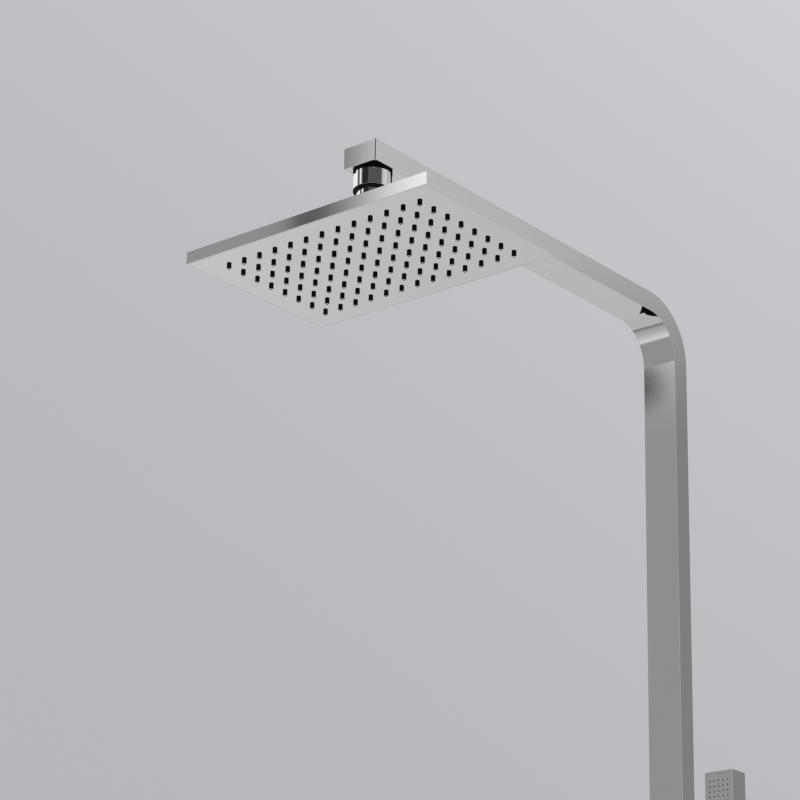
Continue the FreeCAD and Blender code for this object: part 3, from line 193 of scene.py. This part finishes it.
MATERIALS = {
    "polished_chrome": mirror_metal(
        "chrome", (0.885, 0.885, 0.89), (0.86, 0.86, 0.865), rough=0.02, rougher=0.04, waviness=0.02
    ),
    "polished_steel": mirror_metal(
        "steel", (0.9, 0.9, 0.9), (0.875, 0.875, 0.875), rough=0.02, rougher=0.045, waviness=0.02
    ),
    "chromed_plastic": mirror_metal(
        "plated_plastic", (0.88, 0.88, 0.885), (0.855, 0.855, 0.86), rough=0.05, rougher=0.08, waviness=0.02
    ),
    "black_rubber": rubber(
        "rubber", (0.0015, 0.0015, 0.0016), (0.004, 0.004, 0.0042), rough=0.5, grain=1400.0, depth=0.35
    ),
    "black_silicone": rubber(
        "silicone", (0.0025, 0.0025, 0.0027), (0.005, 0.005, 0.0053), rough=0.36, grain=900.0, depth=0.15
    ),
    "hose_rubber": rubber(
        "hose", (0.055, 0.055, 0.06), (0.09, 0.09, 0.095), rough=0.55, grain=1100.0, depth=0.3
    ),
    # The pale nozzle rim is a painted highlight: pale plastic that stands in for the light caught on the
    # nozzle ends.
    "nozzle_rim_painted_highlight": plastic("nozzle_rim_painted_highlight", (0.82, 0.82, 0.83), (0.76, 0.76, 0.77), rough=0.3, grain=1200.0),
    "white_acetal": plastic("acetal", (0.84, 0.84, 0.82), (0.79, 0.79, 0.76), rough=0.34, grain=1200.0),
    "grey_plastic": plastic(
        "grey_plastic", (0.33, 0.34, 0.35), (0.29, 0.3, 0.31), rough=0.42, grain=1500.0
    ),
    "bare_brass": turned_metal(
        "brass", (0.74, 0.56, 0.29), (0.6, 0.43, 0.2), rough=0.22, axis="Z", rings=900.0
    ),
    "zinc_steel": turned_metal(
        "zinc", (0.64, 0.65, 0.66), (0.5, 0.51, 0.52), rough=0.3, axis="Y", rings=700.0
    ),
}


def dress_nodes():
    """Every CAD node takes the material of its slot in the record."""
    for row in frame["record"]["subparts"]:
        mesh = frame["nodes"][row["node"]].data
        mesh.materials.clear()
        mesh.materials.append(MATERIALS[row["material_slot"]])


# ---------------------------------------------------------------------- pieces


def new_piece(name, shape, body, materials, node):
    """A finished mesh that rides on a body, takes its finish from a slot and stands for a node."""
    bmesh.ops.recalc_face_normals(shape, faces=shape.faces)
    mesh = bpy.data.meshes.new(name)
    shape.to_mesh(mesh)
    shape.free()
    for material in materials:
        mesh.materials.append(material)
    piece = bpy.data.objects.new(name, mesh)
    bpy.context.scene.collection.objects.link(piece)
    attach(piece, body)
    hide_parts(node)


def smooth_below(shape, degrees):
    """Smooth shading, with edges sharper than the angle kept crisp."""
    for face in shape.faces:
        face.smooth = True
    for edge in shape.edges:
        edge.smooth = len(edge.link_faces) == 2 and edge.calc_face_angle(0.0) < math.radians(degrees)


def turned_rows(shape, rows, segments, frame_at, tones=None):
    """Stacks rings of vertices. Each row is (radius, or radius by angle and height; height), in mm."""
    rings = []
    for radius, height in rows:
        ring = []
        for step in range(segments):
            angle = 2.0 * math.pi * step / segments
            reach = radius(angle, height) if callable(radius) else radius
            local = Vector((reach * math.cos(angle), reach * math.sin(angle), height))
            ring.append(shape.verts.new(frame_at @ local))
        rings.append(ring)
    for place, (low, high) in enumerate(zip(rings, rings[1:])):
        for step in range(segments):
            after = (step + 1) % segments
            face = shape.faces.new((low[step], low[after], high[after], high[step]))
            face.material_index = tones[place] if tones else 0
    return rings


def in_mm(place, turn=None):
    """The frame of a piece whose own numbers are in mm, set at a place given in mm."""
    spin = turn.to_matrix().to_4x4() if turn else Matrix.Identity(4)
    return Matrix.Translation(Vector(place) * MM) @ spin @ Matrix.Scale(MM, 4)


def corners(node):
    """A node's lowest and highest corners, in mm."""
    low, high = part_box(node)
    return Vector(low) / MM, Vector(high) / MM


def block(shape, low, high):
    """A closed slab between two corners, in mm."""
    middle = (Vector(low) + Vector(high)) / 2.0 * MM
    size = (Vector(high) - Vector(low)) * MM
    matrix = Matrix.Translation(middle) @ Matrix.Diagonal((*size, 1.0))
    bmesh.ops.create_cube(shape, size=1.0, matrix=matrix)


# The G 1/2 pipe thread, in mm. Crests and roots are flat, the helix fades over its run-out, and the
# first turns are drawn in a little so that a nut starts easily.
THREAD_RADIUS = 10.478
THREAD_DEPTH = 1.162
THREAD_PITCH = 1.814
THREAD_FLANK = 1.5
THREAD_CREST = 0.25
THREAD_RUN_OUT = 1.2
THREAD_LEAD = 0.9
THREAD_LEAD_SHARE = 0.07
STEPS_ALONG = 56
STEPS_AROUND = 64


def share(value):
    """A value held between 0 and 1."""
    return min(1.0, max(0.0, value))


def thread_radius(low, high):
    """Radius of the thread by angle and height, fading out at its two ends."""
    def radius(angle, height):
        turns = (height / THREAD_PITCH - angle / (2.0 * math.pi)) % 1.0
        flank = abs(2.0 * turns - 1.0)
        depth = THREAD_DEPTH * share(THREAD_FLANK * flank - THREAD_CREST)
        fade = share((high - height) / THREAD_RUN_OUT)
        lead = share((height - low) / THREAD_LEAD)
        return (THREAD_RADIUS - depth * fade) * (1.0 - THREAD_LEAD_SHARE * (1.0 - lead))
    return radius


def threaded_end(name, node, body, thread, closing):
    """An outside thread cut as one helix on a turned piece, closed by the rest of its profile."""
    low, high = thread
    cut = thread_radius(low, high)
    rows = [(cut, low + (high - low) * step / STEPS_ALONG) for step in range(STEPS_ALONG + 1)]
    rows += list(closing)
    lowest, highest = corners(node)
    middle = (lowest + highest) / 2.0
    shape = bmesh.new()
    rings = turned_rows(shape, rows, STEPS_AROUND, in_mm((middle.x, middle.y, lowest.z - low)))
    for step in range(STEPS_AROUND):
        after = (step + 1) % STEPS_AROUND
        shape.faces.new((rings[-1][step], rings[-1][after], rings[0][after], rings[0][step]))
    smooth_below(shape, 35.0)
    new_piece(name, shape, body, (MATERIALS["polished_chrome"],), node)


def threads():
    """The two hose connections: one under the block, with a collar, and one under the hand shower."""
    collar = ((12.6, -2.0), (13.0, -1.6), (13.0, -0.4), (12.6, 0.0))
    spigot = ((9.0, 0.0), (9.0, 11.8), (6.0, 11.8), (6.0, 10.0), (7.6, 10.0))
    mouth = ((7.6, -11.6), (8.0, -12.0))
    threaded_end("hose_outlet_thread", "hose_outlet", "column", (-12.0, -2.0), collar + spigot + mouth)
    plug = ((9.5, -4.0), (9.5, 0.0), (8.0, 0.0), (8.0, 9.8), (5.0, 9.8))
    mouth = ((5.0, -13.6), (5.4, -14.0))
    threaded_end("hand_inlet_thread", "hand_inlet", "hand_shower", (-14.0, -4.0), plug + mouth)


# The hand shower's jets, in mm. They stand on a sheet, and the first row lies JET_FIRST under the
# body's top. The profile runs from the sheet to the dome and down the bore.
JET_COLUMNS = 5
JET_ROWS = 20
JET_PITCH = 5.5
JET_FIRST = 10.5
JET_SHEET = 1.5
JET_SEGMENTS = 16
JET_PROFILE = (
    (0.75, -1.9), (0.75, -0.42), (0.7, -0.22), (0.57, -0.07), (0.38, 0.0), (0.28, -0.06), (0.26, -0.9),
    (0.02, -0.95),
)


def hand_jets():
    """The hand shower's soft jets: small domes, each with its own bore."""
    low, high = corners("hand_jet_mat")
    shape = bmesh.new()
    block(shape, (low.x, high.y - JET_SHEET, low.z), high)
    forward = Matrix.Rotation(math.radians(90.0), 3, "X").to_quaternion()
    top = corners("hand_body")[1].z
    for column in range(JET_COLUMNS):
        for row in range(JET_ROWS):
            across = (low.x + high.x) / 2.0 + JET_PITCH * (column - (JET_COLUMNS - 1) / 2.0)
            place = (across, low.y, top - JET_FIRST - JET_PITCH * row)
            turned_rows(shape, JET_PROFILE, JET_SEGMENTS, in_mm(place, forward))
    smooth_below(shape, 50.0)
    silicone = (MATERIALS["black_silicone"],)
    new_piece("hand_jets_soft", shape, "hand_shower", silicone, "hand_jet_mat")


# The rain head's mat and nozzles, in mm. Heights count from the face plate's outer side: the mat's
# slab lies between MAT_UNDER and MAT_TOP. The profile runs down the nozzle and up its bore, and its
# rim, the pale ring at its end, takes the second material: a painted highlight, pale colour that
# stands in for the light the nozzle ends catch.
NOZZLE_COLUMNS = 13
NOZZLE_ROWS = 8
NOZZLE_PITCH_X = 19.9
NOZZLE_PITCH_Y = 20.5
NOZZLE_SEGMENTS = 24
MAT_TOP = 3.2
MAT_UNDER = 1.2
NOZZLE_PROFILE = (
    (2.3, MAT_UNDER), (2.3, -3.1), (2.27, -3.29), (2.18, -3.4), (1.2, -3.4), (1.1, -3.3), (1.1, 0.0),
    (0.04, 0.2),
)
# Which profile steps take the pale rim, the painted highlight on each nozzle end (1) and which take silicone
# (0).
NOZZLE_PAINTED_HIGHLIGHT_STEPS = (0, 0, 0, 1, 0, 0, 0)


def nozzle_mat():
    """The rain head's mat: soft nozzles with rounded ends, each with a pale rim round its bore, a painted
    highlight.
    """
    low, high = corners("nozzle_mat")
    middle = (low + high) / 2.0
    face = high.z - MAT_TOP
    shape = bmesh.new()
    block(shape, (low.x, low.y, face + MAT_UNDER), high)
    for column in range(NOZZLE_COLUMNS):
        for row in range(NOZZLE_ROWS):
            across = middle.x + NOZZLE_PITCH_X * (column - (NOZZLE_COLUMNS - 1) / 2.0)
            along = middle.y + NOZZLE_PITCH_Y * (row - (NOZZLE_ROWS - 1) / 2.0)
            place = in_mm((across, along, face))
            turned_rows(shape, NOZZLE_PROFILE, NOZZLE_SEGMENTS, place, NOZZLE_PAINTED_HIGHLIGHT_STEPS)
    smooth_below(shape, 40.0)
    materials = (MATERIALS["black_silicone"], MATERIALS["nozzle_rim_painted_highlight"])
    new_piece("nozzle_mat_soft", shape, "rain_head", materials, "nozzle_mat")


# ----------------------------------------------------------------------- studio

# The photograph's view, from the front right and below, with a long lens. Places are in metres, the
# lens and the film in millimetres.
CAMERA_PLACE = (1.6158, -2.4643, -0.4895)
CAMERA_FORWARD = Vector((-0.59685, 0.71608, 0.36194))
CAMERA_UP = Vector((0.21587, -0.29116, 0.932))
CAMERA_LENS = 126.673
CAMERA_FILM = 36.0


def build_camera():
    """The camera at the photograph's place."""
    data = bpy.data.cameras.new("camera")
    data.sensor_fit = "HORIZONTAL"
    data.sensor_width = CAMERA_FILM
    data.lens = CAMERA_LENS
    data.clip_start = 0.05
    data.clip_end = 60.0
    camera = bpy.data.objects.new("camera", data)
    forward = CAMERA_FORWARD.normalized()
    right = forward.cross(CAMERA_UP).normalized()
    up = right.cross(forward)
    turn = Matrix((right, up, -forward)).transposed().to_4x4()
    camera.matrix_world = Matrix.Translation(CAMERA_PLACE) @ turn
    bpy.context.scene.collection.objects.link(camera)
    bpy.context.scene.camera = camera


# Tones that polished metal finds round the studio, as (turn, tone). The turn is in degrees about the
# upright axis: 0 is straight into the room, 90 along the wall to the right, and 180 into the wall.
# One list per height of the sight line, and one for the bright window that only high lines see.
BELOW = (
    (-180, 0.48), (-97, 0.5), (-93, 0.22), (-87, 0.22), (-79, 0.36), (-65, 0.45), (-57, 0.49), (-49, 0.59),
    (-44, 0.7), (-42, 0.68), (-40.4, 0.36), (-38, 0.31), (80, 0.31), (97, 0.48), (180, 0.48),
)
LEVEL = (
    (-180, 0.5), (-145, 0.525), (-141, 0.545), (-135, 0.61), (-125, 0.62), (-100, 0.56), (-88, 0.5),
    (-62, 0.4), (-50, 0.31), (-30, 0.31), (-14, 0.5), (8, 0.6), (36, 0.42), (70, 0.3), (88, 0.3), (104, 0.5),
    (128, 0.5), (140, 0.38), (144.5, 0.24), (148.5, 0.235), (153, 0.38), (170, 0.5), (180, 0.5),
)
ABOVE = (
    (-180, 0.56), (-140, 0.65), (-128, 0.82), (-100, 0.94), (-66, 1.0), (-22, 0.022), (12, 0.022),
    (14, 0.088), (94, 0.088), (98, 0.45), (108, 0.6), (125, 0.7), (133, 0.6), (140, 0.53), (144, 0.48),
    (150, 0.42), (165, 0.62), (180, 0.56),
)
WINDOW = (
    (-66, 1.0), (-61, 0.98), (-58.5, 0.11), (-47, 0.11), (-44.8, 0.3), (-43.0, 0.295), (-42.5, 0.27),
    (-42.2, 0.12), (-41.9, 0.1), (-41.6, 0.14), (-41.05, 0.3), (-40.75, 0.43), (-40.45, 0.56),
    (-40.2, 0.68), (-39.8, 0.8), (-39.35, 0.96), (-33, 1.0), (-30, 0.5), (-27, 0.25), (-22, 0.022),
)
CEILING = 0.8
# Heights, in degrees, over which one band of the room passes into the next.
BELOW_TO_LEVEL = (-40.0, -24.0)
LEVEL_TO_ABOVE = (20.3, 25.2)
ABOVE_TO_CEILING = (48.0, 60.0)
# A small dark thing in the room: its turn and height, and where it fades.
SPOT_TURN = -34.6
SPOT_HEIGHT = 21.55
SPOT_FADE = (0.1, 0.8)
SPOT_STRENGTH = 0.8
SPOT_TONE = 0.03
# Where metal mirrors metal, low directions are nearly black: to the left, and nearer level also
# towards the wall. Turns and heights, in degrees.
MIRRORED_TONE = 0.004
MIRRORED_LEFT = -73.0
MIRRORED_LEFT_HALF = 40.0
MIRRORED_WALL = 140.0
MIRRORED_TOP = -18.0
MIRRORED_LOW = -34.0
# The backdrop's brightness rises along this direction, to the photograph's upper right.
BACKDROP_DIRECTION = Vector((0.64, 0.15, 0.76))
BACKDROP_REACH = 0.2
BACKDROP_TONE = 0.515
BACKDROP_SLOPE = 0.35
BACKDROP_CURVE = 0.9
BACKDROP_WARM = 0.985
BACKDROP_COOL = 1.045
WORLD_LIGHT = 0.75


def tones_round(shader, angle, stops):
    """A tone for each angle, straight between the stops."""
    start, end = stops[0][0], stops[-1][0]
    node = shader.add("ValToRGB", {"Fac": shader.ramp(angle, start, end)})
    elements = node.color_ramp.elements
    for at, tone in stops[1:-1]:
        elements.new((at - start) / (end - start)).color = grey(tone)
    elements[0].position = 0.0
    elements[0].color = grey(stops[0][1])
    elements[len(elements) - 1].position = 1.0
    elements[len(elements) - 1].color = grey(stops[-1][1])
    return node.outputs["Color"]


def room_tones(shader, turn, height):
    """The room that metal mirrors: four bands one over the other, and a small dark thing."""
    def band(heights, lower, upper):
        return shader.mix(shader.ramp(height, *heights, smooth=True), lower, upper)

    middle = (WINDOW[0][0] + WINDOW[-1][0]) / 2.0
    half = (WINDOW[-1][0] - WINDOW[0][0]) / 2.0
    from_middle = shader.math("ABSOLUTE", shader.math("SUBTRACT", turn, middle))
    window = shader.ramp(from_middle, half - 0.1, half, 1.0, 0.0)
    above = shader.mix(window, tones_round(shader, turn, ABOVE), tones_round(shader, turn, WINDOW))
    room = band(BELOW_TO_LEVEL, tones_round(shader, turn, BELOW), tones_round(shader, turn, LEVEL))
    room = band(LEVEL_TO_ABOVE, room, above)
    room = band(ABOVE_TO_CEILING, room, grey(CEILING))
    across = shader.math("SUBTRACT", turn, SPOT_TURN)
    up = shader.math("SUBTRACT", height, SPOT_HEIGHT)
    squares = shader.math("ADD", shader.math("MULTIPLY", across, across), shader.math("MULTIPLY", up, up))
    spot = shader.ramp(shader.math("SQRT", squares), *SPOT_FADE, SPOT_STRENGTH, 0.0, smooth=True)
    return shader.mix(spot, room, grey(SPOT_TONE))


def mirrored_dark(shader, path, turn, height):
    """1 where light that metal has mirrored twice or more comes from the dark part of the room."""
    twice = shader.math("GREATER_THAN", path["Glossy Depth"], 1.5)
    thrice = shader.math("GREATER_THAN", path["Glossy Depth"], 2.5)
    below = shader.math("LESS_THAN", height, MIRRORED_TOP)
    slight = shader.math("GREATER_THAN", height, MIRRORED_LOW)
    from_left = shader.math("ABSOLUTE", shader.math("SUBTRACT", turn, MIRRORED_LEFT))
    left = shader.math("LESS_THAN", from_left, MIRRORED_LEFT_HALF)
    wallward = shader.math("GREATER_THAN", shader.math("ABSOLUTE", turn), MIRRORED_WALL)
    flat = shader.math("MULTIPLY", shader.math("MAXIMUM", wallward, thrice), slight)
    return shader.math("MULTIPLY", shader.math("MAXIMUM", left, flat), shader.math("MULTIPLY", twice, below))


def backdrop_tones(shader, direction):
    """What the camera sees behind the object: a pale, slightly blue grey."""
    inputs = {0: direction, 1: BACKDROP_DIRECTION}
    across = shader.add("VectorMath", inputs, operation="DOT_PRODUCT").outputs["Value"]
    across = shader.math("SUBTRACT", across, BACKDROP_DIRECTION.dot(CAMERA_FORWARD))
    across = shader.math("MINIMUM", shader.math("MAXIMUM", across, -BACKDROP_REACH), BACKDROP_REACH)
    square = shader.math("MULTIPLY", across, across)
    tone = shader.math("ADD", shader.math("MULTIPLY", across, BACKDROP_SLOPE), BACKDROP_TONE)
    tone = shader.math("ADD", tone, shader.math("MULTIPLY", square, BACKDROP_CURVE))
    warm = shader.math("MULTIPLY", tone, BACKDROP_WARM)
    cool = shader.math("MULTIPLY", tone, BACKDROP_COOL)
    return shader.add("CombineColor", {0: warm, 1: tone, 2: cool}).outputs[0]


def build_world():
    """A pale backdrop for the camera, a room of soft tones for the metal, and even light for the rest."""
    world = bpy.data.worlds.new("studio")
    world.use_nodes = True
    bpy.context.scene.world = world
    shader = Shader(world.node_tree)
    direction = shader.add("TexCoord").outputs["Generated"]
    axes = shader.add("SeparateXYZ", {0: direction}).outputs
    turn = shader.math("ARCTAN2", axes["X"], shader.math("MULTIPLY", axes["Y"], -1.0))
    turn = shader.math("DEGREES", turn)
    height = shader.math("DEGREES", shader.math("ARCSINE", axes["Z"]))
    path = shader.add("LightPath").outputs
    dark = mirrored_dark(shader, path, turn, height)
    room = shader.mix(dark, room_tones(shader, turn, height), grey(MIRRORED_TONE))
    seen = shader.math("MAXIMUM", path["Is Glossy Ray"], path["Is Transmission Ray"])
    light = shader.mix(seen, grey(WORLD_LIGHT), room)
    light = shader.mix(path["Is Camera Ray"], light, backdrop_tones(shader, direction))
    background = shader.add("Background", {"Color": light})
    shader.add("OutputWorld", {"Surface": background.outputs[0]})


def area_light(name, place, target, size, watts):
    """A soft square lamp that lights the object but doesn't show in the metal."""
    data = bpy.data.lights.new(name, "AREA")
    data.shape = "SQUARE"
    data.size = size
    data.energy = watts
    light = bpy.data.objects.new(name, data)
    light.visible_glossy = False
    away = Vector(target) - Vector(place)
    light.matrix_world = Matrix.Translation(place) @ away.to_track_quat("-Z", "Y").to_matrix().to_4x4()
    bpy.context.scene.collection.objects.link(light)


FLOOR_PLACE = (0.0, -0.3, -2.05)
FLOOR_RADIUS = 9.0
FLOOR_FADE = (4.0, 8.8)


def build_floor():
    """A plain pale floor that fades out far from the object."""
    mesh = bpy.data.meshes.new("floor")
    shape = bmesh.new()
    bmesh.ops.create_circle(shape, cap_ends=True, segments=96, radius=FLOOR_RADIUS)
    shape.to_mesh(mesh)
    shape.free()
    floor = bpy.data.objects.new("floor", mesh)
    floor.location = FLOOR_PLACE
    bpy.context.scene.collection.objects.link(floor)
    material, shader = new_material("floor")
    place = shader.add("TexCoord").outputs["Object"]
    distance = shader.add("VectorMath", {0: place}, operation="LENGTH").outputs["Value"]
    speckle = shader.noise(place, scale=8.0, detail=4.0, roughness=0.5)
    base = shader.mix(shader.ramp(speckle, 0.3, 0.7), grey(0.8), grey(0.77))
    surface = shader.add("BsdfPrincipled", {"Base Color": base, "Roughness": 0.7})
    clear = shader.add("BsdfTransparent")
    fade = shader.ramp(distance, *FLOOR_FADE, smooth=True)
    mixed = shader.add("MixShader", {0: fade, 1: surface.outputs[0], 2: clear.outputs[0]})
    shader.add("OutputMaterial", {"Surface": mixed.outputs[0]})
    mesh.materials.append(material)
    floor.visible_glossy = False


# ------------------------------------------------------------------------ build

dress_nodes()
nozzle_mat()
threads()
hand_jets()
build_camera()
build_world()
build_floor()
area_light("key", (-1.6, -2.6, 2.4), (0.0, -0.3, 0.2), size=1.6, watts=55.0)
area_light("fill", (2.6, -1.6, 0.6), (0.0, -0.3, 0.2), size=1.8, watts=22.0)
area_light("rim", (0.6, 2.2, 2.2), (0.0, -0.3, 0.3), size=1.4, watts=22.0)

bpy.context.scene.view_settings.view_transform = "Standard"
